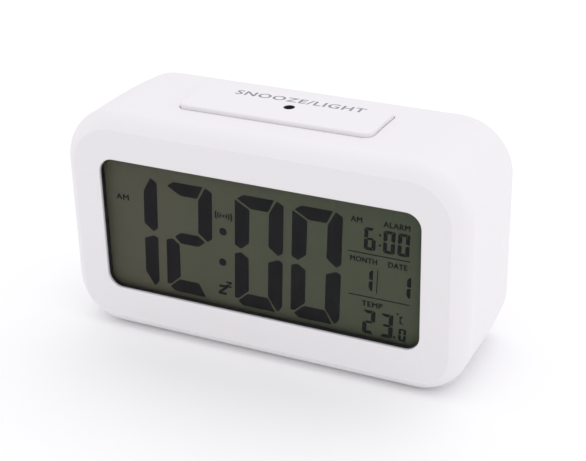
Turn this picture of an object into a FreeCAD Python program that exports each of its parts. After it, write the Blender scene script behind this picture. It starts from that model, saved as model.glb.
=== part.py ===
import FreeCAD, Part
import math
import os

# Digital alarm clock with a liquid-crystal display, in millimetres.
# X runs to the right, Y from the front to the back, Z up, and the base is at z = 0.
# Shapes are drawn with y = depth behind the front face, and moved to the part's frame on export.

# Casing
WIDTH = 135.0
HEIGHT = 75.0
DEPTH = 45.0
KEY_PROUD = 1.0
FRONT_Y = -(DEPTH + KEY_PROUD) / 2
CORNER_TOP = 18.5
CORNER_BOTTOM = 17.0
FLANK_RADIUS = 6.83
FLANK_DEPTH = 6.53
TAPER = 1.27
TAPER_START = 20.0
WALL = 2.2
FRONT_WALL = 2.0
COVER_THICKNESS = 2.2
COVER_GAP = 0.15
FIT = 0.3

# Window, lens and display
WINDOW_W = 107.1
WINDOW_H = 45.05
WINDOW_Z = 37.8
WINDOW_R = 5.0
LENS_GAP = 0.25
LENS_RECESS = 0.5
LENS_FLANGE = 2.2
LENS_BACK = 2.7
GLASS_W = 109.0
GLASS_H = 47.0
GLASS_T = 1.1
POLARISER_T = 0.2
POLARISER_FRONT = 3.0
CONTACT_LEDGE = 3.0
GUIDE_FRONT = 5.8
GUIDE_BACK = 8.2
GUIDE_W = 105.0
GUIDE_H = 40.0
FRAME_WALL = 1.8

# Circuit boards
BOARD_T = 1.6
BOARD_FRONT = 10.0
BOARD_BACK = BOARD_FRONT + BOARD_T
BOARD_X = 62.8
BOARD_LOW = 14.0
BOARD_TOP = 60.5
BOARD_BOSSES = [(x, z) for x in (-60.2, 60.2) for z in (22.0, 53.0)]
SMALL_BOSS_R = 2.5
CRYSTAL_R = 1.15

# Case screws
CASE_BOSSES = [(x, z) for x in (-50.0, 50.0) for z in (6.5, 68.0)]
CASE_BOSS_R = 2.8

# Snooze bar and its board
BAR_X = 32.2
BAR_FRONT = 13.7
BAR_BACK = 34.6
BAR_R = 3.0
BAR_TOP = 76.5
BAR_SKIN = 1.8
BAR_WALL = 1.6
BAR_EDGE = 0.9
BAR_FLANGE = 1.6
BAR_FLANGE_LOW = 70.9
BAR_FLANGE_TOP = 71.9
BAR_TRAVEL = 1.0
STEM_TRAVEL = 0.3
SNOOZE_BOARD_TOP = 66.0
SNOOZE_BOARD_X = 41.0
SNOOZE_BOARD_FRONT = 16.0
SNOOZE_BOARD_BACK = 34.0
SNOOZE_BOSS_X = 38.0
SNOOZE_BOSS_Y = 25.0
SWITCH_SIZE = 6.0
SNOOZE_SWITCH_H = 3.4
SNOOZE_SWITCH_Y = 30.0
SENSOR_X = 1.2
SENSOR_Y = 23.7
SENSOR_HOLE = 3.2

# Rear keys and slide switch
KEY_NAMES = ["mode", "set", "up", "down"]
KEY_Z = 60.0
KEY_PITCH = 19.0
KEY_FIRST_X = -38.0
KEY_R = 3.5
KEY_FLANGE_R = 4.5
KEY_FLANGE_FRONT = 41.5
KEY_FLANGE_BACK = 42.5
KEY_NUB_FRONT = 41.0
KEY_BOARD_FRONT = 36.0
KEY_BOARD_BACK = KEY_BOARD_FRONT + BOARD_T
KEY_BOARD_X = 50.0
KEY_BOARD_LOW = 55.0
KEY_BOARD_TOP = 65.0
KEY_BOSS_X = 46.5
KEY_SWITCH_BACK = 40.1
KEY_STEM_BACK = 40.6
STEM_R = 1.7
SLIDE_X = 38.0
SLIDE_TRAVEL = 2.0
KNOB_W = 2.4
KNOB_H = 2.2
KNOB_BACK = 45.8
SLIDE_BODY_BACK = 41.2

# Battery bay, cells and door
CELL_D = 10.5
CELL_L = 44.5
CELL_NUB = 1.1
CELL_NUB_R = 1.9
CELL_PITCH = 11.4
CELL_Z = [29.0 - CELL_PITCH, 29.0, 29.0 + CELL_PITCH]
CELL_Y = 37.35
BAY_X = 25.2
BAY_LOW = 11.9
BAY_TOP = 46.1
BAY_FLOOR = 31.5
BAY_WALL = 1.5
CONTACT_T = 0.4
SPRING_L = 4.3
DIMPLE = 0.8
LEDGE_FRONT = 41.3
LEDGE_X = 31.0
LEDGE_LOW = 7.0
LEDGE_TOP = 51.0
DOOR_X = 29.0
DOOR_LOW = 9.6
DOOR_TOP = 48.4
DOOR_T = 1.9
DOOR_TAB_X = 17.0
DOOR_TAB_W = 6.0

# Buzzer and thermistor
BUZZER_X = 45.5
BUZZER_Z = 29.0
BUZZER_R = 10.0
VENT_X = -45.5
COVER_FRONT = DEPTH - COVER_THICKNESS


def box(x0, x1, y0, y1, z0, z1):
    return Part.makeBox(x1 - x0, y1 - y0, z1 - z0, FreeCAD.Vector(x0, y0, z0))


def rod_y(x, z, radius, y0, y1):
    return Part.makeCylinder(radius, y1 - y0, FreeCAD.Vector(x, y0, z), FreeCAD.Vector(0, 1, 0))


def rod_z(x, y, radius, z0, z1):
    return Part.makeCylinder(radius, z1 - z0, FreeCAD.Vector(x, y, z0), FreeCAD.Vector(0, 0, 1))


def rod_x(y, z, radius, x0, x1):
    return Part.makeCylinder(radius, x1 - x0, FreeCAD.Vector(x0, y, z), FreeCAD.Vector(1, 0, 0))


def fuse(shapes):
    return shapes[0].multiFuse(shapes[1:]).removeSplitter()


def cut(shape, tools):
    return shape.cut(tools)


def outline(half, low, top, r_low, r_top, place):
    """Closed wire of a rectangle with rounded corners; place(u, v) gives a point in space."""
    corners = [
        (half, low, r_low, -90),
        (half, top, r_top, 0),
        (-half, top, r_top, 90),
        (-half, low, r_low, 180),
    ]
    arcs = []
    for u, v, radius, start in corners:
        cu = u - math.copysign(radius, u)
        cv = v + radius if v == low else v - radius
        points = []
        for step in (0, 45, 90):
            angle = math.radians(start + step)
            points.append(place(cu + radius * math.cos(angle), cv + radius * math.sin(angle)))
        arcs.append(points)
    edges = []
    for index, points in enumerate(arcs):
        edges.append(Part.Arc(*points).toShape())
        edges.append(Part.LineSegment(points[2], arcs[(index + 1) % 4][0]).toShape())
    return Part.Wire(edges)


def plate_y(half, low, top, radius, y0, y1):
    wire = outline(half, low, top, radius, radius, lambda u, v: FreeCAD.Vector(u, y0, v))
    return Part.Face(wire).extrude(FreeCAD.Vector(0, y1 - y0, 0))


def plate_z(half, front, back, radius, z0, z1):
    wire = outline(half, front, back, radius, radius, lambda u, v: FreeCAD.Vector(u, v, z0))
    return Part.Face(wire).extrude(FreeCAD.Vector(0, 0, z1 - z0))


def frame_y(half, low, top, radius, wall, y0, y1):
    outer = plate_y(half, low, top, radius, y0, y1)
    inner = plate_y(half - wall, low + wall, top - wall, max(radius - wall, 0.3), y0 - 1, y1 + 1)
    return cut(outer, [inner])


def taper_inset(depth):
    """The sides and the top draw in towards the back; the base stays flat."""
    return TAPER * ((depth - TAPER_START) / (DEPTH - TAPER_START)) ** 2


def case_outline(depth, offset, inset):
    side = offset + inset
    return outline(WIDTH / 2 - side, offset, HEIGHT - side, CORNER_BOTTOM - offset, CORNER_TOP - side,
                   lambda u, v: FreeCAD.Vector(u, depth, v))


def case_form(front, edge_radius, offset):
    """Solid with a rounded front edge and a tapered tail, offset inwards from the casing's outside."""
    prism = Part.Face(case_outline(front, offset, 0.0)).extrude(FreeCAD.Vector(0, TAPER_START - front, 0))
    rim = [edge for edge in prism.Edges if edge.BoundBox.YMax < front + 0.01]
    block = prism.makeFillet(edge_radius, rim)
    middle = (TAPER_START + DEPTH) / 2
    sections = [case_outline(depth, offset, taper_inset(depth)) for depth in (TAPER_START, middle, DEPTH)]
    return fuse([block, Part.makeLoft(sections, True, False)])


def front_case():
    outside = case_form(FLANK_DEPTH - FLANK_RADIUS, FLANK_RADIUS, 0.0)
    face_trim = box(-WIDTH, WIDTH, -5.0, 0.0, -5.0, HEIGHT + 5.0)
    shell = cut(outside, [face_trim, case_form(FRONT_WALL, FLANK_RADIUS - WALL, WALL)])
    bosses = []
    for x, z in BOARD_BOSSES:
        bosses.append(rod_y(x, z, SMALL_BOSS_R, FRONT_WALL - 0.2, BOARD_FRONT))
    for x, z in CASE_BOSSES:
        bosses.append(rod_y(x, z, CASE_BOSS_R, FRONT_WALL - 0.2, COVER_FRONT))
    for x in (-SNOOZE_BOSS_X, SNOOZE_BOSS_X):
        bosses.append(rod_z(x, SNOOZE_BOSS_Y, SMALL_BOSS_R, SNOOZE_BOARD_TOP, HEIGHT - WALL + 0.6))
    shell = fuse([shell] + bosses)
    tools = [plate_y(WINDOW_W / 2, WINDOW_Z - WINDOW_H / 2, WINDOW_Z + WINDOW_H / 2, WINDOW_R,
                     -1.0, FRONT_WALL + 0.1)]
    tools.append(plate_z(BAR_X + FIT, BAR_FRONT - FIT, BAR_BACK + FIT, BAR_R + FIT, 71.0, 80.0))
    for x, z in BOARD_BOSSES:
        tools.append(rod_y(x, z, 0.9, BOARD_FRONT - 6.0, BOARD_FRONT + 1))
    for x, z in CASE_BOSSES:
        tools.append(rod_y(x, z, 1.2, COVER_FRONT - 12.0, COVER_FRONT + 1))
    for x in (-SNOOZE_BOSS_X, SNOOZE_BOSS_X):
        tools.append(rod_z(x, SNOOZE_BOSS_Y, 0.9, SNOOZE_BOARD_TOP - 1, SNOOZE_BOARD_TOP + 5.0))
    return cut(shell, tools)


def cover_plate():
    side = taper_inset(DEPTH) + WALL + COVER_GAP
    wire = outline(WIDTH / 2 - side, WALL + COVER_GAP, HEIGHT - side,
                   CORNER_BOTTOM - WALL - COVER_GAP, CORNER_TOP - side,
                   lambda u, v: FreeCAD.Vector(u, COVER_FRONT, v))
    return Part.Face(wire).extrude(FreeCAD.Vector(0, COVER_THICKNESS, 0))


def rear_cover():
    solids = [cover_plate()]
    solids.append(plate_y(LEDGE_X, LEDGE_LOW, LEDGE_TOP, 2.0, LEDGE_FRONT, COVER_FRONT + 0.1))
    solids.append(plate_y(BAY_X + BAY_WALL, BAY_LOW - BAY_WALL, BAY_TOP + BAY_WALL, 1.5,
                          BAY_FLOOR - BAY_WALL, LEDGE_FRONT + 0.1))
    for x in (-KEY_BOSS_X, KEY_BOSS_X):
        solids.append(rod_y(x, KEY_Z, SMALL_BOSS_R, KEY_BOARD_BACK, COVER_FRONT + 0.1))
    cover = fuse(solids)
    tools = [box(-BAY_X, BAY_X, BAY_FLOOR, DEPTH + 1, BAY_LOW, BAY_TOP)]
    tools.append(plate_y(DOOR_X + FIT, DOOR_LOW - FIT, DOOR_TOP + FIT, 2.0 + FIT, COVER_FRONT, DEPTH + 1))
    tools.append(plate_y(7.0, DOOR_TOP - 3.0, DOOR_TOP + 5.0, 2.4, DEPTH - 1.2, DEPTH + 1))
    for x in (-DOOR_TAB_X, DOOR_TAB_X):
        half = DOOR_TAB_W / 2 + FIT
        tools.append(box(x - half, x + half, COVER_FRONT - 1.9, COVER_FRONT, DOOR_LOW - 2.4, DOOR_LOW + 3.6))
    for index in range(len(KEY_NAMES)):
        x = KEY_FIRST_X + index * KEY_PITCH
        tools.append(rod_y(x, KEY_Z, KEY_R + FIT, COVER_FRONT - 1, DEPTH + 1))
    half = (KNOB_W + SLIDE_TRAVEL) / 2 + FIT
    tools.append(box(SLIDE_X - half, SLIDE_X + half, COVER_FRONT - 1, DEPTH + 1,
                     KEY_Z - KNOB_H / 2 - FIT, KEY_Z + KNOB_H / 2 + FIT))
    for x, z in CASE_BOSSES:
        tools.append(rod_y(x, z, 1.5, COVER_FRONT - 1, DEPTH + 1))
        tools.append(rod_y(x, z, 2.7, DEPTH - 1.3, DEPTH + 1))
    for x in (-KEY_BOSS_X, KEY_BOSS_X):
        tools.append(rod_y(x, KEY_Z, 0.9, KEY_BOARD_BACK - 1, COVER_FRONT))
    tools.append(rod_y(BUZZER_X, BUZZER_Z, 0.9, COVER_FRONT - 1, DEPTH + 1))
    for index in range(6):
        angle = math.radians(60 * index)
        tools.append(rod_y(BUZZER_X + 4.2 * math.cos(angle), BUZZER_Z + 4.2 * math.sin(angle), 0.9,
                           COVER_FRONT - 1, DEPTH + 1))
    for index in range(4):
        z = BUZZER_Z - 4.5 + 3.0 * index
        tools.append(plate_y(5.0, z - 0.6, z + 0.6, 0.5, COVER_FRONT - 1, DEPTH + 1)
                     .translated(FreeCAD.Vector(VENT_X, 0, 0)))
    return cut(cover, tools)


def display_lens():
    half = WINDOW_W / 2 - LENS_GAP
    low = WINDOW_Z - WINDOW_H / 2 + LENS_GAP
    top = WINDOW_Z + WINDOW_H / 2 - LENS_GAP
    pad = plate_y(half, low, top, WINDOW_R - LENS_GAP, LENS_RECESS, FRONT_WALL + 0.1)
    flange = plate_y(half + LENS_FLANGE, low - LENS_FLANGE, top + LENS_FLANGE, WINDOW_R,
                     FRONT_WALL + 0.1, LENS_BACK)
    return fuse([pad, flange])


def lens_gasket():
    half = WINDOW_W / 2 - LENS_GAP + LENS_FLANGE
    height = WINDOW_H / 2 - LENS_GAP + LENS_FLANGE
    return frame_y(half, WINDOW_Z - height, WINDOW_Z + height, WINDOW_R, LENS_FLANGE - 0.35,
                   LENS_BACK, POLARISER_FRONT)


def glass_plate(width, low, top, y0, y1):
    return box(-width / 2, width / 2, y0, y1, low, top)


GLASS_LOW = WINDOW_Z - GLASS_H / 2
GLASS_TOP = WINDOW_Z + GLASS_H / 2
GLASS_FRONT = POLARISER_FRONT + POLARISER_T


def front_polariser():
    return glass_plate(GLASS_W - 1, GLASS_LOW + 0.5, GLASS_TOP - 0.5, POLARISER_FRONT, GLASS_FRONT)


def lcd_front_glass():
    return glass_plate(GLASS_W, GLASS_LOW, GLASS_TOP, GLASS_FRONT, GLASS_FRONT + GLASS_T)


def lcd_rear_glass():
    return glass_plate(GLASS_W, GLASS_LOW + CONTACT_LEDGE, GLASS_TOP,
                       GLASS_FRONT + GLASS_T, GLASS_FRONT + 2 * GLASS_T)


def rear_polariser():
    y0 = GLASS_FRONT + 2 * GLASS_T
    return glass_plate(GLASS_W - 1, GLASS_LOW + CONTACT_LEDGE + 0.5, GLASS_TOP - 0.5, y0, y0 + POLARISER_T)


GUIDE_LOW = GLASS_TOP - 1.5 - GUIDE_H


def light_guide():
    return glass_plate(GUIDE_W, GUIDE_LOW, GUIDE_LOW + GUIDE_H, GUIDE_FRONT, GUIDE_BACK)


def backlight_reflector():
    return glass_plate(GUIDE_W, GUIDE_LOW, GUIDE_LOW + GUIDE_H, GUIDE_BACK + 0.1, GUIDE_BACK + 0.3)


def backlight_leds():
    leds = []
    for side in (-1, 1):
        for z in (WINDOW_Z - 8, WINDOW_Z + 8):
            x = side * (GUIDE_W / 2 + 1.0)
            leds.append(box(x - 0.7, x + 0.7, GUIDE_FRONT + 0.4, BOARD_FRONT, z - 1.6, z + 1.6))
    return Part.makeCompound(leds)


def lcd_frame():
    half = GLASS_W / 2 + 0.3 + FRAME_WALL
    low = GLASS_LOW - 0.3 - FRAME_WALL
    top = GLASS_TOP + 0.3 + FRAME_WALL
    ring = frame_y(half, low, top, 1.5, FRAME_WALL, GLASS_FRONT, BOARD_FRONT - 0.1)
    shelf = frame_y(half - FRAME_WALL + 0.1, low + FRAME_WALL - 0.1, top - FRAME_WALL + 0.1, 0.5, 0.9,
                    GLASS_FRONT + 2 * GLASS_T + 0.3, GUIDE_FRONT + 0.2)
    slot = box(-GLASS_W / 2, GLASS_W / 2, GLASS_FRONT, BOARD_FRONT, GLASS_LOW + 0.01, GLASS_LOW + 2.6)
    return cut(fuse([ring, shelf]), [slot])


def zebra_strips():
    strips = []
    for side in (-1, 1):
        x = side * 26.0
        strips.append(box(x - 24.0, x + 24.0, GLASS_FRONT + GLASS_T, BOARD_FRONT,
                          GLASS_LOW + 0.4, GLASS_LOW + 2.4))
    return Part.makeCompound(strips)


def main_board():
    board = plate_y(BOARD_X, BOARD_LOW, BOARD_TOP, 3.0, BOARD_FRONT, BOARD_BACK)
    return cut(board, [rod_y(x, z, 1.1, BOARD_FRONT - 1, BOARD_BACK + 1) for x, z in BOARD_BOSSES])


def screw_y(x, z, head_y, length, direction, head_r, shaft_r, head_h):
    """Pan-head screw along Y; head_y is the seat of the head, direction the way the shaft points."""
    if direction < 0:
        head = rod_y(x, z, head_r, head_y, head_y + head_h)
        shaft = rod_y(x, z, shaft_r, head_y - length, head_y + 0.1)
        slot = box(x - head_r * 0.6, x + head_r * 0.6, head_y + head_h - 0.5, head_y + head_h + 1,
                   z - 0.25, z + 0.25)
    else:
        head = rod_y(x, z, head_r, head_y - head_h, head_y)
        shaft = rod_y(x, z, shaft_r, head_y - 0.1, head_y + length)
        slot = box(x - head_r * 0.6, x + head_r * 0.6, head_y - head_h - 1, head_y - head_h + 0.5,
                   z - 0.25, z + 0.25)
    return cut(fuse([head, shaft]), [slot])


def main_board_screws():
    return Part.makeCompound([screw_y(x, z, BOARD_BACK, 6.0, -1, 1.9, 0.85, 1.2) for x, z in BOARD_BOSSES])


def case_screws():
    screws = [screw_y(x, z, DEPTH - 1.3, 11.0, -1, 2.4, 1.15, 1.1) for x, z in CASE_BOSSES]
    return Part.makeCompound(screws)


def key_board_screws():
    screws = [screw_y(x, KEY_Z, KEY_BOARD_FRONT, 5.0, 1, 1.9, 0.85, 1.2) for x in (-KEY_BOSS_X, KEY_BOSS_X)]
    return Part.makeCompound(screws)


def snooze_board_screws():
    screws = []
    seat = SNOOZE_BOARD_TOP - BOARD_T
    for x in (-SNOOZE_BOSS_X, SNOOZE_BOSS_X):
        head = rod_z(x, SNOOZE_BOSS_Y, 1.9, seat - 1.2, seat)
        shaft = rod_z(x, SNOOZE_BOSS_Y, 0.85, seat - 0.1, seat + 5.5)
        slot = box(x - 1.2, x + 1.2, SNOOZE_BOSS_Y - 0.25, SNOOZE_BOSS_Y + 0.25, seat - 1.7, seat - 0.7)
        screws.append(cut(fuse([head, shaft]), [slot]))
    return Part.makeCompound(screws)


def clock_chip():
    radius = 16.0
    rise = 1.8
    ball = Part.makeSphere(radius, FreeCAD.Vector(-20, BOARD_BACK + rise - radius, 38))
    return ball.common(box(-40, 0, BOARD_BACK, BOARD_BACK + 5, 20, 60))


def crystal():
    can = rod_x(BOARD_BACK + CRYSTAL_R, 50.0, 1.0, -4.0, 2.0)
    cap = rod_x(BOARD_BACK + CRYSTAL_R, 50.0, CRYSTAL_R, -4.6, -4.0)
    return fuse([can, cap])


def capacitors():
    cans = []
    for x in (24.0, 32.0):
        can = rod_y(x, 48.0, 2.5, BOARD_BACK, BOARD_BACK + 7.0)
        groove = rod_y(x, 48.0, 4.0, BOARD_BACK + 1.0, BOARD_BACK + 1.5).cut(
            rod_y(x, 48.0, 2.2, BOARD_BACK, BOARD_BACK + 3.0))
        cans.append(cut(can, [groove]))
    return Part.makeCompound(cans)


def resistors():
    chips = []
    for index in range(6):
        x = 12.0 + 4.5 * index
        chips.append(box(x, x + 2.0, BOARD_BACK, BOARD_BACK + 0.6, 30.0, 31.3))
    return Part.makeCompound(chips)


def thermistor():
    lead = rod_y(VENT_X, 48.0, 0.4, BOARD_BACK, BOARD_BACK + 8.0)
    bead = Part.makeSphere(1.3, FreeCAD.Vector(VENT_X, BOARD_BACK + 8.6, 48.0))
    return fuse([lead, bead])


def snooze_board():
    z0 = SNOOZE_BOARD_TOP - BOARD_T
    board = plate_z(SNOOZE_BOARD_X, SNOOZE_BOARD_FRONT, SNOOZE_BOARD_BACK, 2.0, z0, SNOOZE_BOARD_TOP)
    return cut(board, [rod_z(x, SNOOZE_BOSS_Y, 1.1, z0 - 1, SNOOZE_BOARD_TOP + 1)
                       for x in (-SNOOZE_BOSS_X, SNOOZE_BOSS_X)])


SNOOZE_SWITCH_TOP = SNOOZE_BOARD_TOP + SNOOZE_SWITCH_H
SNOOZE_STEM_TOP = SNOOZE_SWITCH_TOP + 1.0


def snooze_switch_body():
    half = SWITCH_SIZE / 2
    body = box(-half, half, SNOOZE_SWITCH_Y - half, SNOOZE_SWITCH_Y + half, SNOOZE_BOARD_TOP, SNOOZE_SWITCH_TOP)
    well = rod_z(0, SNOOZE_SWITCH_Y, STEM_R + 0.2, SNOOZE_BOARD_TOP + 1.2, SNOOZE_SWITCH_TOP + 1)
    return cut(body, [well])


def snooze_switch_stem():
    return rod_z(0, SNOOZE_SWITCH_Y, STEM_R, SNOOZE_BOARD_TOP + 1.2 + STEM_TRAVEL + 0.2, SNOOZE_STEM_TOP)


def light_sensor():
    disc = rod_z(SENSOR_X, SENSOR_Y, 2.2, SNOOZE_BOARD_TOP, SNOOZE_BOARD_TOP + 2.0)
    flat = box(SENSOR_X + 1.9, SENSOR_X + 3, SENSOR_Y - 3, SENSOR_Y + 3, SNOOZE_BOARD_TOP - 1, SNOOZE_BOARD_TOP + 3)
    return cut(disc, [flat])


def snooze_bar():
    cap = plate_z(BAR_X, BAR_FRONT, BAR_BACK, BAR_R, BAR_FLANGE_LOW, BAR_TOP)
    rim = [edge for edge in cap.Edges if edge.BoundBox.ZMin > BAR_TOP - 0.01]
    cap = cap.makeFillet(BAR_EDGE, rim)
    flange = plate_z(BAR_X + BAR_FLANGE, BAR_FRONT - BAR_FLANGE, BAR_BACK + BAR_FLANGE, BAR_R + BAR_FLANGE,
                     BAR_FLANGE_LOW, BAR_FLANGE_TOP)
    hollow = plate_z(BAR_X - BAR_WALL, BAR_FRONT + BAR_WALL, BAR_BACK - BAR_WALL, BAR_R - BAR_WALL,
                     BAR_FLANGE_LOW - 1, BAR_TOP - BAR_SKIN)
    post_low = SNOOZE_STEM_TOP + BAR_TRAVEL - STEM_TRAVEL + 0.1
    post = rod_z(0, SNOOZE_SWITCH_Y, 2.0, post_low, BAR_TOP - BAR_SKIN + 0.2)
    shell = fuse([cut(fuse([cap, flange]), [hollow]), post])
    return cut(shell, [rod_z(SENSOR_X, SENSOR_Y, SENSOR_HOLE / 2, BAR_TOP - 5, BAR_TOP + 1)])


def key_x(index):
    return KEY_FIRST_X + index * KEY_PITCH


def key_board():
    board = plate_y(KEY_BOARD_X, KEY_BOARD_LOW, KEY_BOARD_TOP, 1.5, KEY_BOARD_FRONT, KEY_BOARD_BACK)
    return cut(board, [rod_y(x, KEY_Z, 1.1, KEY_BOARD_FRONT - 1, KEY_BOARD_BACK + 1)
                       for x in (-KEY_BOSS_X, KEY_BOSS_X)])


def key_switch_bodies():
    bodies = []
    half = SWITCH_SIZE / 2
    for index in range(len(KEY_NAMES)):
        x = key_x(index)
        body = box(x - half, x + half, KEY_BOARD_BACK, KEY_SWITCH_BACK, KEY_Z - half, KEY_Z + half)
        bodies.append(cut(body, [rod_y(x, KEY_Z, STEM_R + 0.2, KEY_BOARD_BACK + 0.8, KEY_SWITCH_BACK + 1)]))
    return Part.makeCompound(bodies)


def key_stem(index):
    return rod_y(key_x(index), KEY_Z, STEM_R, KEY_BOARD_BACK + 0.8 + STEM_TRAVEL + 0.2, KEY_STEM_BACK)


def rear_key(index):
    x = key_x(index)
    back = DEPTH + KEY_PROUD
    cap = rod_y(x, KEY_Z, KEY_R, KEY_FLANGE_FRONT, back)
    rim = [edge for edge in cap.Edges if edge.BoundBox.YMin > back - 0.01]
    cap = cap.makeFillet(0.6, rim)
    flange = rod_y(x, KEY_Z, KEY_FLANGE_R, KEY_FLANGE_FRONT, KEY_FLANGE_BACK)
    nub = rod_y(x, KEY_Z, 1.2, KEY_NUB_FRONT, KEY_FLANGE_FRONT + 0.1)
    return fuse([cap, flange, nub])


def slide_switch_body():
    half_w = 4.3
    half_h = 2.2
    body = box(SLIDE_X - half_w, SLIDE_X + half_w, KEY_BOARD_BACK, SLIDE_BODY_BACK,
               KEY_Z - half_h, KEY_Z + half_h)
    reach = (KNOB_W + SLIDE_TRAVEL) / 2 + FIT
    slot = box(SLIDE_X - reach, SLIDE_X + reach, KEY_BOARD_BACK + 1.0, SLIDE_BODY_BACK + 1,
               KEY_Z - KNOB_H / 2 - 0.2, KEY_Z + KNOB_H / 2 + 0.2)
    return cut(body, [slot])


def sensor_switch_knob():
    x0 = SLIDE_X - (KNOB_W + SLIDE_TRAVEL) / 2
    knob = box(x0, x0 + KNOB_W, KEY_BOARD_BACK + 1.3, KNOB_BACK, KEY_Z - KNOB_H / 2, KEY_Z + KNOB_H / 2)
    rim = [edge for edge in knob.Edges if edge.BoundBox.YMin > KNOB_BACK - 0.01]
    return knob.makeFillet(0.3, rim)


def buzzer_ring():
    ring = rod_y(BUZZER_X, BUZZER_Z, BUZZER_R + 1.0, COVER_FRONT - 3.0, COVER_FRONT)
    return cut(ring, [rod_y(BUZZER_X, BUZZER_Z, BUZZER_R - 0.8, COVER_FRONT - 4, COVER_FRONT + 1)])


def buzzer_disc():
    plate = rod_y(BUZZER_X, BUZZER_Z, BUZZER_R, COVER_FRONT - 3.3, COVER_FRONT - 3.0)
    ceramic = rod_y(BUZZER_X, BUZZER_Z, BUZZER_R - 3.0, COVER_FRONT - 3.5, COVER_FRONT - 3.3)
    return fuse([plate, ceramic])


def cell_sides():
    """Cell height and the side its positive end points to, for the three cells in series."""
    return [(CELL_Z[0], 1), (CELL_Z[1], -1), (CELL_Z[2], 1)]


def battery_cells():
    cells = []
    for z, side in cell_sides():
        low = -BAY_X + CONTACT_T + SPRING_L
        body = rod_x(CELL_Y, z, CELL_D / 2, low, low + CELL_L - CELL_NUB)
        rims = [edge for edge in body.Edges if edge.BoundBox.XLength < 0.01]
        body = body.makeFillet(0.5, rims)
        nub = rod_x(CELL_Y, z, CELL_NUB_R, low + CELL_L - CELL_NUB - 0.1, low + CELL_L)
        cell = fuse([body, nub])
        if side < 0:
            cell = cell.mirror(FreeCAD.Vector(0, 0, 0), FreeCAD.Vector(1, 0, 0))
        cells.append(cell)
    return Part.makeCompound(cells)


def battery_springs():
    springs = []
    for z, side in cell_sides():
        wall = BAY_X * -side
        base = box(-BAY_X, -BAY_X + CONTACT_T, CELL_Y - 4.2, CELL_Y + 4.2, z - 4.2, z + 4.2)
        parts = [base]
        coils = 4
        reach = SPRING_L - 0.35
        for index in range(coils):
            x = -BAY_X + CONTACT_T + 0.3 + (reach - 0.3) * index / (coils - 1)
            parts.append(Part.makeTorus(3.2 - 0.3 * index, 0.35, FreeCAD.Vector(x, CELL_Y, z),
                                        FreeCAD.Vector(1, 0, 0)))
        foot = FreeCAD.Vector(-BAY_X + CONTACT_T - 0.1, CELL_Y + 3.25, z)
        tip = FreeCAD.Vector(-BAY_X + CONTACT_T + reach, CELL_Y + 2.3, z)
        run = tip.sub(foot)
        parts.append(Part.makeCylinder(0.3, run.Length, foot, run))
        spring = fuse(parts)
        if wall > 0:
            spring = spring.mirror(FreeCAD.Vector(0, 0, 0), FreeCAD.Vector(1, 0, 0))
        springs.append(spring)
    return Part.makeCompound(springs)


def battery_plates():
    plates = []
    for z, side in cell_sides():
        base = box(BAY_X - CONTACT_T, BAY_X, CELL_Y - 4.2, CELL_Y + 4.2, z - 4.2, z + 4.2)
        dimple = rod_x(CELL_Y, z, 2.2, BAY_X - CONTACT_T - DIMPLE, BAY_X - CONTACT_T + 0.1)
        plate = fuse([base, dimple])
        if side < 0:
            plate = plate.mirror(FreeCAD.Vector(0, 0, 0), FreeCAD.Vector(1, 0, 0))
        plates.append(plate)
    return Part.makeCompound(plates)


def battery_door():
    inner = DEPTH - DOOR_T
    door = plate_y(DOOR_X, DOOR_LOW, DOOR_TOP, 2.0, inner, DEPTH)
    solids = [door]
    for x in (-DOOR_TAB_X, DOOR_TAB_X):
        half = DOOR_TAB_W / 2
        solids.append(box(x - half, x + half, COVER_FRONT - 1.2, inner + 0.2, DOOR_LOW + 0.4, DOOR_LOW + 1.6))
        solids.append(box(x - half, x + half, COVER_FRONT - 1.2, COVER_FRONT - 0.25,
                          DOOR_LOW - 1.9, DOOR_LOW + 1.6))
    door = fuse(solids)
    slits = [box(x - 0.4, x + 0.4, inner - 1, DEPTH + 1, DOOR_TOP - 9.0, DOOR_TOP + 1) for x in (-6.0, 6.0)]
    return cut(door, slits)


def ribbon_cable():
    """Flat cable, folded in one soft Z from the main board's back to the key board's front."""
    half = 6.0
    thick = 0.7
    y0 = BOARD_BACK
    y1 = KEY_BOARD_FRONT
    z0 = 56.0
    z1 = 57.5
    low = box(-half, half, y0, y0 + 8.0, z0, z0 + thick)
    rise = box(-half, half, y0 + 8.0 - thick, y0 + 8.0, z0, z1 + thick)
    high = box(-half, half, y0 + 8.0 - thick, y1, z1, z1 + thick)
    return fuse([low, rise, high])


def wire_run(points, radius, bend):
    """Round wire along straight runs joined by tangent arcs."""
    edges = []
    start = points[0]
    for index in range(1, len(points) - 1):
        here = points[index]
        back = points[index - 1].sub(here).normalize()
        ahead = points[index + 1].sub(here).normalize()
        half_angle = back.getAngle(ahead) / 2
        reach = bend / math.tan(half_angle)
        first = here.add(back * reach)
        last = here.add(ahead * reach)
        middle = back.add(ahead).normalize()
        centre = here.add(middle * (bend / math.sin(half_angle)))
        edges.append(Part.LineSegment(start, first).toShape())
        edges.append(Part.Arc(first, centre.sub(middle * bend), last).toShape())
        start = last
    edges.append(Part.LineSegment(start, points[-1]).toShape())
    path = Part.Wire(edges)
    direction = points[1].sub(points[0])
    section = Part.Wire(Part.makeCircle(radius, points[0], direction))
    return path.makePipeShell([section], True, True)


def battery_wires():
    """Two leads from the bay's wall to the main board."""
    wires = []
    for side in (-1, 1):
        x = side * (BAY_X + BAY_WALL)
        out = side * 34.0
        points = [FreeCAD.Vector(x, 36.0, 20.0), FreeCAD.Vector(out, 36.0, 20.0),
                  FreeCAD.Vector(out, 22.0, 20.0), FreeCAD.Vector(out, 22.0, 26.0),
                  FreeCAD.Vector(out, BOARD_BACK, 26.0)]
        wires.append(wire_run(points, 0.6, 2.0))
    return Part.makeCompound(wires)


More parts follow.
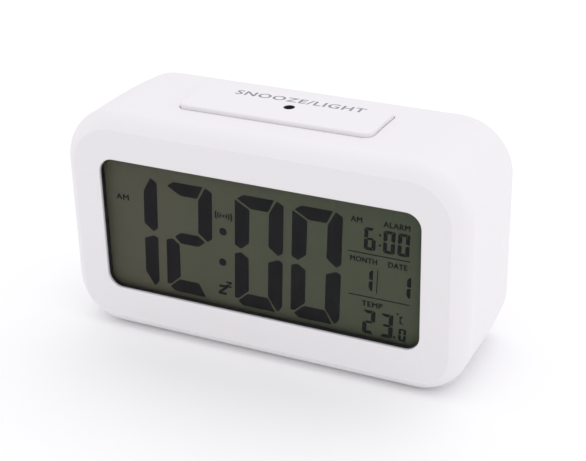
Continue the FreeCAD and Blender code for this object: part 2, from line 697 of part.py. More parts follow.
def build():
    nodes = {
        "front_case": front_case(),
        "rear_cover": rear_cover(),
        "case_screws": case_screws(),
        "display_lens": display_lens(),
        "lens_gasket": lens_gasket(),
        "front_polariser": front_polariser(),
        "lcd_front_glass": lcd_front_glass(),
        "lcd_rear_glass": lcd_rear_glass(),
        "rear_polariser": rear_polariser(),
        "light_guide": light_guide(),
        "backlight_reflector": backlight_reflector(),
        "backlight_leds": backlight_leds(),
        "lcd_frame": lcd_frame(),
        "zebra_strips": zebra_strips(),
        "main_board": main_board(),
        "main_board_screws": main_board_screws(),
        "clock_chip": clock_chip(),
        "crystal": crystal(),
        "capacitors": capacitors(),
        "resistors": resistors(),
        "thermistor": thermistor(),
        "snooze_board": snooze_board(),
        "snooze_board_screws": snooze_board_screws(),
        "snooze_switch_body": snooze_switch_body(),
        "snooze_switch_stem": snooze_switch_stem(),
        "light_sensor": light_sensor(),
        "snooze_bar": snooze_bar(),
        "key_board": key_board(),
        "key_board_screws": key_board_screws(),
        "key_switch_bodies": key_switch_bodies(),
        "slide_switch_body": slide_switch_body(),
        "sensor_switch_knob": sensor_switch_knob(),
        "buzzer_ring": buzzer_ring(),
        "buzzer_disc": buzzer_disc(),
        "battery_cells": battery_cells(),
        "battery_springs": battery_springs(),
        "battery_plates": battery_plates(),
        "battery_door": battery_door(),
        "ribbon_cable": ribbon_cable(),
        "battery_wires": battery_wires(),
    }
    for index, name in enumerate(KEY_NAMES):
        nodes[name + "_key"] = rear_key(index)
        nodes[name + "_switch_stem"] = key_stem(index)
    return nodes


os.makedirs("parts", exist_ok=True)
for node, shape in build().items():
    moved = shape.translated(FreeCAD.Vector(0, FRONT_Y, 0))
    moved.exportStep("parts/" + node + ".step")
    print(node, "valid" if moved.isValid() else "INVALID", len(moved.Solids), round(moved.Volume, 1))
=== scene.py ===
import math
import bmesh
import bpy
from mathutils import Matrix, Vector


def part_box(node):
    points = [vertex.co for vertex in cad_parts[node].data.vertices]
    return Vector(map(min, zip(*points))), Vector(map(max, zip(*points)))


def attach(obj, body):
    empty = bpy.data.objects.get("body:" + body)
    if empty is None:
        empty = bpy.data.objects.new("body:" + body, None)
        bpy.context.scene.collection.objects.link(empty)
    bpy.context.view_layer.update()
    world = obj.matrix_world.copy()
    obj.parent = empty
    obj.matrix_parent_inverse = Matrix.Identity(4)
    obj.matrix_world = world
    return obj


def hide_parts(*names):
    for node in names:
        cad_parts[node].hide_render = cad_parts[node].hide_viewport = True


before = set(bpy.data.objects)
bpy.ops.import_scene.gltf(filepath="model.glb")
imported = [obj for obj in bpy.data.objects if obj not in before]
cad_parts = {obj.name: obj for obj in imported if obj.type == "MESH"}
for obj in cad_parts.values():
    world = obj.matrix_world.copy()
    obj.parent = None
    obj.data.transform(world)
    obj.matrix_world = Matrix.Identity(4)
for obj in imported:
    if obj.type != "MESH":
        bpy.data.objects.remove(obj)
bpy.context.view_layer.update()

# ---------------------------------------------------------------- casing
# The front case is one deep moulding of white ABS. Its flat face meets a large rounded flank in
# a fine crease, and the sides and top draw in a little towards the open back, as the mould needs.
MM = 0.001
case_low, case_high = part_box("front_case")
FACE = case_low.y
CASE_HALF = case_high.x
CASE_TOP = case_high.z
CASE_DEEP = case_high.y - FACE
CORNER_TOP = 18.5 * MM
CORNER_BASE = 17.0 * MM
FACE_CORNER_TOP = 13.7 * MM
FACE_CORNER_BASE = 9.6 * MM
FLANK_R = 6.83 * MM
FLANK_DEEP = 6.53 * MM
FACE_INSET = FLANK_R * (1 - math.cos(math.asin(FLANK_DEEP / FLANK_R)))
DRAFT = 1.27 * MM
DRAFT_START = 20.0 * MM
WALL = 2.2 * MM
FACE_WALL = 2.0 * MM
REAR_ROUND = 0.4 * MM
WINDOW_HALF = 53.55 * MM
WINDOW_MID = 37.8 * MM
WINDOW_RISE = 22.525 * MM
WINDOW_R = 5.0 * MM
WINDOW_EDGE = 0.3 * MM


class Value:
    """A number that varies over a surface: sums on it become Math nodes."""

    def __init__(self, tree, socket):
        self.tree = tree
        self.socket = socket

    def math(self, operation, first, second):
        node = self.tree.nodes.new("ShaderNodeMath")
        node.operation = operation
        for socket, number in zip(node.inputs, (first, second)):
            if isinstance(number, Value):
                self.tree.links.new(number.socket, socket)
            else:
                socket.default_value = number
        return Value(self.tree, node.outputs[0])

    def __add__(self, other):
        return self.math("ADD", self, other)

    def __radd__(self, other):
        return self.math("ADD", other, self)

    def __mul__(self, other):
        return self.math("MULTIPLY", self, other)

    def __rmul__(self, other):
        return self.math("MULTIPLY", other, self)

    def __gt__(self, other):
        return self.math("GREATER_THAN", self, other)

    def __lt__(self, other):
        return self.math("LESS_THAN", self, other)


class Finish:
    """One surface finish: a Principled shader and the nodes that vary it."""

    def __init__(self, name, **fixed):
        self.material = bpy.data.materials.new(name)
        self.material.use_nodes = True
        self.tree = self.material.node_tree
        self.shader = self.tree.nodes["Principled BSDF"]
        for socket, value in fixed.items():
            self.shader.inputs[socket.replace("_", " ")].default_value = value
        self.place = self.node("TexCoord", {}, {}).outputs["Object"]

    def node(self, kind, settings, sockets):
        node = self.tree.nodes.new("ShaderNode" + kind)
        for name, setting in settings.items():
            setattr(node, name, setting)
        for name, value in sockets.items():
            self.set(node.inputs[name], value)
        return node

    def set(self, socket, value):
        if isinstance(value, Value):
            value = value.socket
        if isinstance(value, bpy.types.NodeSocket):
            self.tree.links.new(value, socket)
        else:
            socket.default_value = value

    def feed(self, name, value):
        self.set(self.shader.inputs[name], value)

    def noise(self, scale, detail=2.0):
        """Noise over the piece; scale is its cells to the metre."""
        node = self.node("TexNoise", {}, {"Vector": self.place, "Scale": scale, "Detail": detail})
        return Value(self.tree, node.outputs[0])

    def axis(self, letter):
        node = self.node("SeparateXYZ", {}, {"Vector": self.place})
        return Value(self.tree, node.outputs[letter])

    def mix(self, share, first, second):
        """Colour between two others."""
        node = self.node("Mix", {"data_type": "RGBA"}, {})
        for index, value in ((0, share), (6, first), (7, second)):
            self.set(node.inputs[index], value)
        return node.outputs[2]

    def bump(self, height, distance, strength=1.0):
        node = self.node("Bump", {}, {"Height": height, "Distance": distance, "Strength": strength})
        self.feed("Normal", node.outputs["Normal"])


def moulded(name, pale, deep, rough, grain=2600.0, depth=0.012 * MM):
    """Moulded plastic: faint cloudiness from the melt and the fine grain of an etched mould."""
    finish = Finish(name)
    cloud = finish.noise(45.0, 3.0)
    fine = finish.noise(grain, 2.0)
    finish.feed("Base Color", finish.mix(cloud, pale, deep))
    finish.feed("Roughness", rough - 0.05 + 0.07 * fine + 0.03 * cloud)
    finish.bump(fine + 0.35 * finish.noise(grain / 6, 2.0), depth)
    return finish.material


def ring(bm, height, half, low, high, r_low, r_high, steps=12):
    """Edges of a flat rectangle with rounded corners, at a height."""
    known = set(bm.edges)
    flat = ((-half, low), (half, low), (half, high), (-half, high))
    corners = [bm.verts.new((u, v, height)) for u, v in flat]
    bm.faces.new(corners)
    for pair, radius in ((corners[:2], r_low), (corners[2:], r_high)):
        bmesh.ops.bevel(bm, geom=pair, offset=radius, offset_type="OFFSET", segments=steps,
                        profile=0.5, affect="VERTICES", material=-1)
    edges = [edge for edge in bm.edges if edge not in known]
    faces = {face for edge in edges for face in edge.link_faces}
    bmesh.ops.delete(bm, geom=list(faces), context="FACES_ONLY")
    return edges


def lofted(rings, closed=False):
    """A skin through rings of rounded rectangles, capped at its ends or closed on itself.
    The rings are joined as a straight stack, and each then goes to its own place."""
    bm = bmesh.new()
    stack_step = 0.05
    loops = [ring(bm, stack_step * index, *values[1:]) for index, values in enumerate(rings)]
    pairs = list(zip(loops, loops[1:]))
    if closed:
        pairs.append((loops[-1], loops[0]))
    for first, second in pairs:
        bmesh.ops.bridge_loops(bm, edges=first + second)
    if not closed:
        bmesh.ops.contextual_create(bm, geom=loops[0])
        bmesh.ops.contextual_create(bm, geom=loops[-1])
    for vert in bm.verts:
        place = rings[round(vert.co.z / stack_step)][0]
        vert.co = place(vert.co.x, vert.co.y)
    bmesh.ops.recalc_face_normals(bm, faces=bm.faces)
    return bm


def blank(bm, name):
    mesh = bpy.data.meshes.new(name)
    bm.to_mesh(mesh)
    bm.free()
    thing = bpy.data.objects.new(name, mesh)
    bpy.context.scene.collection.objects.link(thing)
    return thing


def carved(bm, tools):
    """The same skin with openings cut through it."""
    body = blank(bm, "blank")
    cutters = [blank(tool, "cutter") for tool in tools]
    for cutter in cutters:
        cut = body.modifiers.new("cut", "BOOLEAN")
        cut.operation = "DIFFERENCE"
        cut.solver = "EXACT"
        cut.object = cutter
    mesh = bpy.data.meshes.new_from_object(body.evaluated_get(bpy.context.evaluated_depsgraph_get()))
    result = bmesh.new()
    result.from_mesh(mesh)
    for thing in [body] + cutters:
        bpy.data.objects.remove(thing)
    return result


def shaded(bm, sharp=32):
    """Welds the skin and shades it smooth, apart from its real edges."""
    bmesh.ops.remove_doubles(bm, verts=bm.verts, dist=0.0005 * MM)
    bmesh.ops.recalc_face_normals(bm, faces=bm.faces)
    for edge in bm.edges:
        edge.smooth = edge.calc_face_angle(math.pi) < math.radians(sharp)
    for face in bm.faces:
        face.smooth = True
    return bm


def fitted(bm, name, body, slot, *finishes, sharp=32):
    thing = blank(shaded(bm, sharp), name)
    for finish in finishes:
        thing.data.materials.append(finish)
    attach(thing, body)
    return thing


def upright(y):
    """Places a flat point in the upright plane at y."""
    return lambda u, v: Vector((u, y, v))


def level(z):
    """Places a flat point in the level plane at z."""
    return lambda u, v: Vector((u, v, z))


def quarter_round(steps):
    """Points along a rounded edge, as shares of its radius from the two faces that it joins."""
    for step in range(steps + 1):
        angle = math.radians(90 * step / steps)
        yield 1 - math.cos(angle), 1 - math.sin(angle)


def drawn_in(deep):
    """How far the mould's draft has drawn the sides in at a depth."""
    share = max(0.0, (deep - DRAFT_START) / (CASE_DEEP - DRAFT_START))
    return DRAFT * share ** 2


def case_ring(deep, inset):
    """The casing's outline at a depth behind the face, drawn in by an inset."""
    side = inset + drawn_in(deep)
    share = min(inset / FACE_INSET, 1.0)
    r_top = CORNER_TOP - (side if inset <= FACE_INSET else 0.0)
    if inset <= FACE_INSET:
        r_low = CORNER_BASE + share * (FACE_CORNER_BASE - CORNER_BASE)
    else:
        r_low = FACE_CORNER_BASE - (inset - FACE_INSET)
        r_top = FACE_CORNER_TOP - (inset - FACE_INSET)
    return upright(FACE + deep), CASE_HALF - side, inset, CASE_TOP - side, r_low, r_top


def wall_ring(deep, inset):
    """The inside of the casing's wall."""
    side = inset + drawn_in(deep)
    return (upright(FACE + deep), CASE_HALF - side, inset, CASE_TOP - side,
            CORNER_BASE - inset, CORNER_TOP - side)


def window_ring(deep, grow):
    return (upright(FACE + deep), WINDOW_HALF + grow, WINDOW_MID - WINDOW_RISE - grow,
            WINDOW_MID + WINDOW_RISE + grow, WINDOW_R + grow, WINDOW_R + grow)


def casing_rings():
    rings = [case_ring(CASE_DEEP - REAR_ROUND * u, REAR_ROUND * v) for u, v in quarter_round(3)]
    span = CASE_DEEP - REAR_ROUND - DRAFT_START
    for step in range(1, 13):
        rings.append(case_ring(CASE_DEEP - REAR_ROUND - span * step / 12, 0.0))
    rings.append(case_ring(DRAFT_START - 1.0 * MM, 0.0))
    rings.append(case_ring(FLANK_DEEP + 1.0 * MM, 0.0))
    for step in range(17):
        share = step / 16
        rings.append(case_ring(FLANK_DEEP * (1 - share), FACE_INSET * share ** 2))
    for inset in (0.07, 0.25, 0.7):
        rings.append(case_ring(0.0, FACE_INSET + inset * MM))
    rings.append(window_ring(0.0, WINDOW_EDGE + 0.5 * MM))
    rings += [window_ring(WINDOW_EDGE * u, WINDOW_EDGE * v) for u, v in quarter_round(4)]
    rings.append(window_ring(FACE_WALL, 0.0))
    inner = FLANK_R - WALL
    rings += [wall_ring(FACE_WALL + inner * u, WALL + inner * v) for u, v in quarter_round(4)]
    for deep in (DRAFT_START, 28.0 * MM, 36.0 * MM, CASE_DEEP):
        rings.append(wall_ring(deep, WALL))
    return rings


BAR_GAP = 0.3 * MM
bar_low, bar_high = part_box("snooze_bar")
BAR_FLANGE = 1.6 * MM
BAR_HALF = bar_high.x - BAR_FLANGE
BAR_FRONT = bar_low.y + BAR_FLANGE
BAR_BACK = bar_high.y - BAR_FLANGE
BAR_R = 3.0 * MM


def bar_slot():
    """The opening in the top of the casing that the snooze bar stands in."""
    outline = (BAR_HALF + BAR_GAP, BAR_FRONT - BAR_GAP, BAR_BACK + BAR_GAP,
               BAR_R + BAR_GAP, BAR_R + BAR_GAP)
    return lofted([(level(CASE_TOP - 6 * MM), *outline), (level(CASE_TOP + 5 * MM), *outline)])


white_abs = moulded("white_abs", (0.836, 0.81, 0.828, 1), (0.828, 0.812, 0.828, 1), 0.44)
casing_skin = carved(lofted(casing_rings(), closed=True), [bar_slot()])
casing = fitted(casing_skin, "casing_shell", "clock", "white_case", white_abs, sharp=12)
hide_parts("front_case")

# ---------------------------------------------------------------- display window
# The window is one clear acrylic plate, set half a millimetre into the face. Its edge is blacked, so
# that no light comes in from the side, and a thin flange behind the face holds it in place.
LENS_HALF = WINDOW_HALF - 0.25 * MM
LENS_RISE = WINDOW_RISE - 0.25 * MM
LENS_R = 4.75 * MM
LENS_ROUND = 0.25 * MM
lens_low, lens_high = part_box("display_lens")
LENS_FRONT = lens_low.y
LENS_STEP = FACE + 2.1 * MM
LENS_BACK = lens_high.y
LENS_FLANGE = lens_high.x - LENS_HALF


def window_plate_ring(y, grow):
    return (upright(y), LENS_HALF + grow, WINDOW_MID - LENS_RISE - grow, WINDOW_MID + LENS_RISE + grow,
            LENS_R + grow, LENS_R + grow)


def lens_rings():
    rings = [window_plate_ring(LENS_FRONT + LENS_ROUND * u, -LENS_ROUND * v) for u, v in quarter_round(3)]
    rings.append(window_plate_ring(LENS_STEP, 0.0))
    rings.append(window_plate_ring(LENS_STEP, LENS_FLANGE))
    rings.append(window_plate_ring(LENS_BACK, LENS_FLANGE))
    return rings


def clear_plate():
    """Clear acrylic: nearly all light passes, and only a faint haze of polish marks stays on it."""
    finish = Finish("clear_acrylic", Specular_IOR_Level=0.0)
    marks = finish.noise(900.0, 3.0)
    finish.feed("Base Color", finish.mix(marks, (0.01, 0.01, 0.01, 1), (0.02, 0.02, 0.02, 1)))
    finish.feed("Roughness", 0.08 + 0.05 * marks)
    finish.feed("Alpha", 0.02 + 0.03 * marks)
    return finish.material


def black_edge():
    """Black ink on the plate's edge."""
    finish = Finish("black_edge")
    patch = finish.noise(600.0, 2.0)
    finish.feed("Base Color", finish.mix(patch, (0.012, 0.012, 0.014, 1), (0.02, 0.02, 0.022, 1)))
    finish.feed("Roughness", 0.44 + 0.12 * patch)
    return finish.material


window_skin = shaded(lofted(lens_rings()))
for face in window_skin.faces:
    middle = face.calc_center_median()
    inside = LENS_FRONT + LENS_ROUND < middle.y < LENS_STEP - 0.1 * MM
    face.material_index = 1 if inside and abs(face.normal.y) < 0.5 else 0
window = fitted(window_skin, "window_plate", "clock", "clear_lens", clear_plate(), black_edge())
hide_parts("display_lens")


def even_black(name, rough, low, high):
    """Black plastic, rubber or foam, with slightly uneven colour and gloss."""
    finish = Finish(name)
    patch = finish.noise(350.0, 3.0)
    finish.feed("Base Color", finish.mix(patch, low, high))
    finish.feed("Roughness", rough - 0.05 + 0.1 * patch)
    finish.bump(finish.noise(4000.0, 2.0), 0.01 * MM, 0.6)
    return finish.material


def coat(material, *nodes):
    """Gives carried-over pieces their finish."""
    for name in nodes:
        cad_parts[name].data.materials.clear()
        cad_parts[name].data.materials.append(material)


coat(even_black("black_foam", 0.9, (0.008, 0.008, 0.008, 1), (0.016, 0.016, 0.016, 1)), "lens_gasket")
coat(even_black("zebra_rubber", 0.75, (0.02, 0.02, 0.02, 1), (0.05, 0.045, 0.045, 1)), "zebra_strips")

# ---------------------------------------------------------------- display glass
# The liquid crystal lies between two thin glass plates, with a polarising film on each side. The front
# film gives the field its grey-green colour, with painted shade along the window's foot.
FIELD_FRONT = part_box("front_polariser")[0].y
FIELD_FOOT = WINDOW_MID - LENS_RISE
FOOT_PAINTED_SHADE = 1.0 * MM


def field_film():
    """Polarising film: warmer to the left, greener to the right, and painted shade along its foot, where the
    window's edge shades it.
    """
    finish = Finish("polarising_film", Specular_IOR_Level=0.15)
    cloud = finish.noise(28.0, 2.0)
    fine = finish.noise(1500.0, 2.0)
    across = finish.node("MapRange", {}, {"Value": finish.axis("X").socket,
                                          1: -WINDOW_HALF, 2: WINDOW_HALF})
    # painted shade: the field darkens towards the window's foot, in place of the window edge's shadow
    foot = finish.node("MapRange", {}, {"Value": finish.axis("Z").socket,
                                        1: FIELD_FOOT, 2: FIELD_FOOT + FOOT_PAINTED_SHADE, 3: 0.35, 4: 0.0})
    warm = finish.mix(cloud, (0.091, 0.090, 0.062, 1), (0.099, 0.095, 0.068, 1))
    green = finish.mix(cloud, (0.066, 0.082, 0.050, 1), (0.074, 0.086, 0.056, 1))
    tone = finish.mix(across.outputs[0], warm, green)
    finish.feed("Base Color", finish.mix(foot.outputs[0], tone, (0.03, 0.032, 0.024, 1)))
    finish.feed("Roughness", 0.5 + 0.08 * fine)
    finish.bump(fine, 0.004 * MM, 0.5)
    return finish.material


def glass(name, tint, rough):
    """Thin glass with a transparent conductive coat."""
    finish = Finish(name, Transmission_Weight=0.6, IOR=1.5)
    patch = finish.noise(120.0, 2.0)
    finish.feed("Base Color", finish.mix(patch, tint, tuple(0.92 * part for part in tint[:3]) + (1,)))
    finish.feed("Roughness", rough + 0.03 * patch)
    return finish.material


coat(field_film(), "front_polariser", "rear_polariser")
coat(glass("display_glass", (0.55, 0.6, 0.52, 1), 0.04), "lcd_front_glass", "lcd_rear_glass")
coat(glass("guide_acrylic", (0.85, 0.9, 0.92, 1), 0.08), "light_guide")

# ---------------------------------------------------------------- display digits
# Each lit segment is a patch of liquid crystal that has turned dark. The patches have mitred ends with
# fine clear gaps between them, rounded outer corners, and lean to the right.
INK_T = 0.02 * MM
INK_Y = FIELD_FRONT - 0.03 * MM
SEG_W = 16.4
SEG_H = 38.4
BIG_W = SEG_W * MM
BIG_H = SEG_H * MM
LEAN = 0.042
DIGIT_MID = 35.9 * MM


def segment_outlines(stroke=4.9, top=4.3):
    """The seven segments of a digit, in an upright cell, from its lower left."""
    width, height, middle = SEG_W, SEG_H, 19.4
    foot = top + 0.2
    return {
        "a": [(0.7, height - 1.6), (3.0, height), (13.2, height), (width - stroke - 0.3, height - top),
              (stroke + 0.5, height - top)],
        "b": [(14.1, height - 0.1), (width, height - 1.4), (width, middle + 1.8), (14.8, middle + 0.5),
              (width - stroke, middle + 3.0), (width - stroke + 0.1, height - top - 0.5)],
        "c": [(14.8, middle - 0.9), (width, middle - 1.6), (width, 2.4), (15.1, 0.5), (14.5, 0.6),
              (width - stroke, foot + 0.6), (width - stroke, middle - 2.4)],
        "d": [(1.2, 1.4), (4.5, foot), (width - stroke, foot), (14.0, 0.0), (2.9, 0.0)],
        "e": [(0.0, middle - 1.5), (2.2, middle - 0.7), (stroke - 0.1, middle - 2.5), (stroke, foot + 1.1),
              (1.4, 2.3), (0.0, 2.3)],
        "f": [(0.0, height - 2.0), (stroke + 0.1, height - top - 0.5), (stroke, middle + 2.9),
              (2.2, middle + 0.5), (0.0, middle + 1.6)],
        "g": [(3.1, middle + 0.2), (5.5, middle + 1.9), (11.5, middle + 1.9), (13.9, middle + 0.1),
              (11.5, middle - 1.9), (5.3, middle - 1.9)],
    }


SEGMENTS = {"0": "abcdef", "1": "bc", "2": "abdeg", "3": "abcdg", "6": "acdefg", "C": "adef"}


def ink(name):
    """Darkened liquid crystal: near black with a blue cast, and very slightly uneven."""
    finish = Finish(name, Specular_IOR_Level=0.0)
    patch = finish.noise(220.0, 2.0)
    finish.feed("Base Color", finish.mix(patch, (0.0195, 0.0195, 0.021, 1), (0.0225, 0.0225, 0.024, 1)))
    finish.feed("Roughness", 0.5 + 0.1 * patch)
    return finish.material


def push_out(bm, faces, way):
    """Extrudes flat faces along a vector, and returns the points that moved."""
    pushed = bmesh.ops.extrude_face_region(bm, geom=faces, use_keep_orig=True)
    moved = [item for item in pushed["geom"] if isinstance(item, bmesh.types.BMVert)]
    bmesh.ops.translate(bm, verts=moved, vec=way)
    return moved


def faces_round(verts):
    return list({face for vert in verts for face in vert.link_faces})


def add_plate(bm, points, round_off=0.0):
    """A thin flat plate on the display's plane, with its corners rounded off."""
    known = set(bm.verts)
    corners = [bm.verts.new((x, INK_Y, z)) for x, z in points]
    bm.faces.new(corners)
    if round_off:
        bmesh.ops.bevel(bm, geom=corners, offset=round_off, offset_type="OFFSET", segments=3, profile=0.5,
                        affect="VERTICES", material=-1, clamp_overlap=True)
    push_out(bm, faces_round([vert for vert in bm.verts if vert not in known]), (0, -INK_T, 0))


def add_digit(bm, digit, left, middle, height, width, outlines):
    """One seven-segment digit; left and middle are its cell's left edge and mid height."""
    tall = height / SEG_H
    wide = width / SEG_W
    for segment in SEGMENTS[digit]:
        points = []
        for u, v in outlines[segment]:
            rise = (v - SEG_H / 2) * tall
            points.append((left + u * wide + LEAN * rise, middle + rise))
        add_plate(bm, points, 0.007 * height)


def add_bar(bm, x0, x1, z0, z1):
    add_plate(bm, [(x0, z0), (x1, z0), (x1, z1), (x0, z1)])


def add_dot(bm, x, z, radius, sides=16):
    place = Matrix.Translation((x, INK_Y, z)) @ Matrix.Rotation(math.pi / 2, 4, "X")
    circle = bmesh.ops.create_circle(bm, cap_ends=True, radius=radius, segments=sides, matrix=place)
    push_out(bm, faces_round(circle["verts"]), (0, -INK_T, 0))


lcd_ink = ink("lcd_ink")
clock_digits = bmesh.new()
for digit, left in (("1", -51.85), ("2", -32.5), ("0", -8.25), ("0", 11.0)):
    add_digit(clock_digits, digit, left * MM, DIGIT_MID, BIG_H, BIG_W, segment_outlines())
for x, z in ((-12.1, 41.3), (-12.7, 30.6)):
    add_dot(clock_digits, x * MM, z * MM, 1.3 * MM)
fitted(clock_digits, "time_digits", "clock", "polariser", lcd_ink)

# The small digits give the alarm time, the month and day, and the temperature. Thin rules part them.
SMALL_H = 7.4 * MM
SMALL_W = 3.7 * MM
small_digits = bmesh.new()
small_cell = segment_outlines(5.6, 5.0)
for digit, left in (("6", 34.8), ("0", 40.85), ("0", 45.35)):
    add_digit(small_digits, digit, left * MM, 48.3 * MM, SMALL_H, SMALL_W, small_cell)
for z in (46.8, 50.1):
    add_dot(small_digits, 39.8 * MM, z * MM, 0.42 * MM, 10)
for left in (33.9, 45.9):
    add_digit(small_digits, "1", left * MM, 34.6 * MM, SMALL_H - 0.2 * MM, SMALL_W, small_cell)
for digit, left in (("2", 34.3), ("3", 40.0)):
    add_digit(small_digits, digit, left * MM, 20.4 * MM, SMALL_H + 0.7 * MM, SMALL_W + 0.4 * MM,
              small_cell)
add_digit(small_digits, "0", 45.9 * MM, 18.3 * MM, 4.2 * MM, 2.4 * MM, small_cell)
add_digit(small_digits, "C", 46.2 * MM, 23.3 * MM, 2.6 * MM, 1.5 * MM, small_cell)
add_dot(small_digits, 44.6 * MM, 17.0 * MM, 0.4 * MM, 10)
add_dot(small_digits, 45.6 * MM, 25.2 * MM, 0.35 * MM, 10)
for z in (43.3, 28.9):
    add_bar(small_digits, 29.7 * MM, 49.2 * MM, (z - 0.17) * MM, (z + 0.17) * MM)
add_plate(small_digits, [(38.65 * MM, 30.6 * MM), (38.95 * MM, 30.6 * MM), (39.35 * MM, 38.6 * MM),
                         (39.05 * MM, 38.6 * MM)])
fitted(small_digits, "small_digits", "clock", "polariser", lcd_ink)

# The alarm mark is a dot between two sets of curved waves, and the snooze mark is a large and a small Z.
signs = bmesh.new()
MARK_X = -11.7 * MM
MARK_Z = 46.7 * MM
add_dot(signs, MARK_X, MARK_Z, 0.42 * MM, 12)
for side in (-1, 1):
    for reach, rise in ((1.05, 0.65), (1.9, 1.0), (2.75, 1.35)):
        inner = []
        outer = []
        for step in range(5):
            share = step / 2 - 1
            bow = 0.3 * (1 - share * share)
            inner.append((MARK_X + side * (reach - 0.5 + bow) * MM, MARK_Z + share * rise * MM))
            outer.append((MARK_X + side * (reach + bow) * MM, MARK_Z + share * rise * MM))
        add_plate(signs, inner + outer[::-1])


def add_z(bm, x, z, width, height, stroke):
    """A leaning letter Z, drawn as two bars and a slanted stroke."""
    lean = 0.12 * height
    add_plate(bm, [(x + lean, z + height), (x + width + lean, z + height),
                   (x + width + lean, z + height - stroke), (x + lean, z + height - stroke)])
    add_plate(bm, [(x + width + lean - stroke * 1.5, z + height - stroke),
                   (x + width + lean, z + height - stroke), (x + stroke * 1.5, z + stroke), (x, z + stroke)])
    add_plate(bm, [(x, z + stroke), (x + width, z + stroke), (x + width, z), (x, z)])


add_z(signs, -14.7 * MM, 19.1 * MM, 2.9 * MM, 3.4 * MM, 0.85 * MM)
add_z(signs, -12.0 * MM, 22.0 * MM, 2.0 * MM, 2.1 * MM, 0.6 * MM)
fitted(signs, "display_marks", "clock", "polariser", lcd_ink)


# The words above the small digits are printed with them, in plain upright capitals.
def word(text, cap, width, stand, thick=0.01 * MM, weight=0.0):
    """Flat lettering as a mesh, with its lower left corner at the origin before it is placed.
    A second striking, to one side by the weight, makes its strokes bolder."""
    curve = bpy.data.curves.new("lettering", "FONT")
    curve.body = text
    curve.size = 1.0
    curve.space_character = 1.12
    curve.resolution_u = 4
    letter = bpy.data.objects.new("lettering", curve)
    bpy.context.scene.collection.objects.link(letter)
    mesh = bpy.data.meshes.new_from_object(letter.evaluated_get(bpy.context.evaluated_depsgraph_get()))
    bpy.data.objects.remove(letter)
    bm = bmesh.new()
    bm.from_mesh(mesh)
    bmesh.ops.remove_doubles(bm, verts=bm.verts, dist=1e-5)
    xs = [vert.co.x for vert in bm.verts]
    ys = [vert.co.y for vert in bm.verts]
    grow = Matrix.Diagonal(((width - weight) / (max(xs) - min(xs)), cap / (max(ys) - min(ys)), 1.0, 1.0))
    bmesh.ops.transform(bm, verts=bm.verts, matrix=grow @ Matrix.Translation((-min(xs), -min(ys), 0)))
    if weight:
        struck = bmesh.ops.duplicate(bm, geom=bm.verts[:] + bm.edges[:] + bm.faces[:])["geom"]
        again = [item for item in struck if isinstance(item, bmesh.types.BMVert)]
        bmesh.ops.translate(bm, verts=again, vec=(weight, 0.4 * weight, 0.4 * thick))
    push_out(bm, bm.faces[:], (0, 0, thick))
    bmesh.ops.transform(bm, verts=bm.verts, matrix=stand)
    return bm


LABEL_WEIGHT = 0.24 * MM
labels = (("AM", -50.0, 45.7, 4.7, 1.9), ("AM", 30.5, 53.0, 3.8, 1.8), ("ALARM", 40.8, 53.0, 8.4, 1.8),
          ("MONTH", 30.3, 40.15, 8.7, 1.75), ("DATE", 42.4, 40.15, 6.1, 1.75), ("TEMP", 34.0, 25.6, 6.8, 1.8))
for number, (text, x, z, width, cap) in enumerate(labels):
    stand = Matrix.Translation((x * MM, INK_Y, z * MM)) @ Matrix.Rotation(math.pi / 2, 4, "X")
    label = word(text, cap * MM, width * MM, stand, weight=LABEL_WEIGHT)
    fitted(label, "label_%d_%s" % (number, text.lower()), "clock", "polariser", lcd_ink)

# ---------------------------------------------------------------- snooze bar
# The bar is a hollow cap of the same white ABS, with softly rounded edges. It stands 1.5 mm proud of the
# casing, and a flange under the casing's top keeps it in. The small hole lets light to the sensor.
BAR_TOP = bar_high.z - 0.015 * MM
BAR_ROUND = 0.6 * MM
BAR_SKIN = 1.8 * MM
BAR_WALL = 1.6 * MM
BAR_FLANGE_T = 1.0 * MM
SENSOR_X = 1.2 * MM
SENSOR_Y = FACE + 24.1 * MM
SENSOR_R = 1.6 * MM
SLEEVE_WALL = 0.2 * MM


def bar_ring(z, grow):
    return (level(z), BAR_HALF + grow, BAR_FRONT - grow, BAR_BACK + grow, BAR_R + grow, BAR_R + grow, 8)


def bar_rings():
    rings = [bar_ring(BAR_TOP - BAR_SKIN, -BAR_WALL), bar_ring(bar_low.z, -BAR_WALL),
             bar_ring(bar_low.z, BAR_FLANGE), bar_ring(bar_low.z + BAR_FLANGE_T, BAR_FLANGE),
             bar_ring(bar_low.z + BAR_FLANGE_T, 0.0)]
    rings += [bar_ring(BAR_TOP - BAR_ROUND * v, -BAR_ROUND * u) for u, v in quarter_round(7)]
    rings.append(bar_ring(BAR_TOP, -BAR_ROUND - 0.4 * MM))
    return rings


def round_tool(x, y, z0, z1, radius, sides=32):
    bm = bmesh.new()
    bmesh.ops.create_cone(bm, cap_ends=True, segments=sides, radius1=radius, radius2=radius, depth=z1 - z0,
                          matrix=Matrix.Translation((x, y, (z0 + z1) / 2)))
    return bm


sensor_hole = round_tool(SENSOR_X, SENSOR_Y, BAR_TOP - 4 * MM, BAR_TOP + 2 * MM, SENSOR_R + SLEEVE_WALL)
bar_skin = carved(lofted(bar_rings()), [sensor_hole])
stem_low, stem_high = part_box("snooze_switch_stem")
POST_LOW = stem_high.z + 0.8 * MM
POST_TOP = BAR_TOP - BAR_SKIN + 0.1 * MM
POST_PLACE = (0, (stem_low.y + stem_high.y) / 2, (POST_LOW + POST_TOP) / 2)
bmesh.ops.create_cone(bar_skin, cap_ends=True, segments=24, radius1=2.0 * MM, radius2=2.2 * MM,
                      depth=POST_TOP - POST_LOW, matrix=Matrix.Translation(POST_PLACE))
bar = fitted(bar_skin, "snooze_bar_cap", "bar", "white_key", white_abs)
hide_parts("snooze_bar")

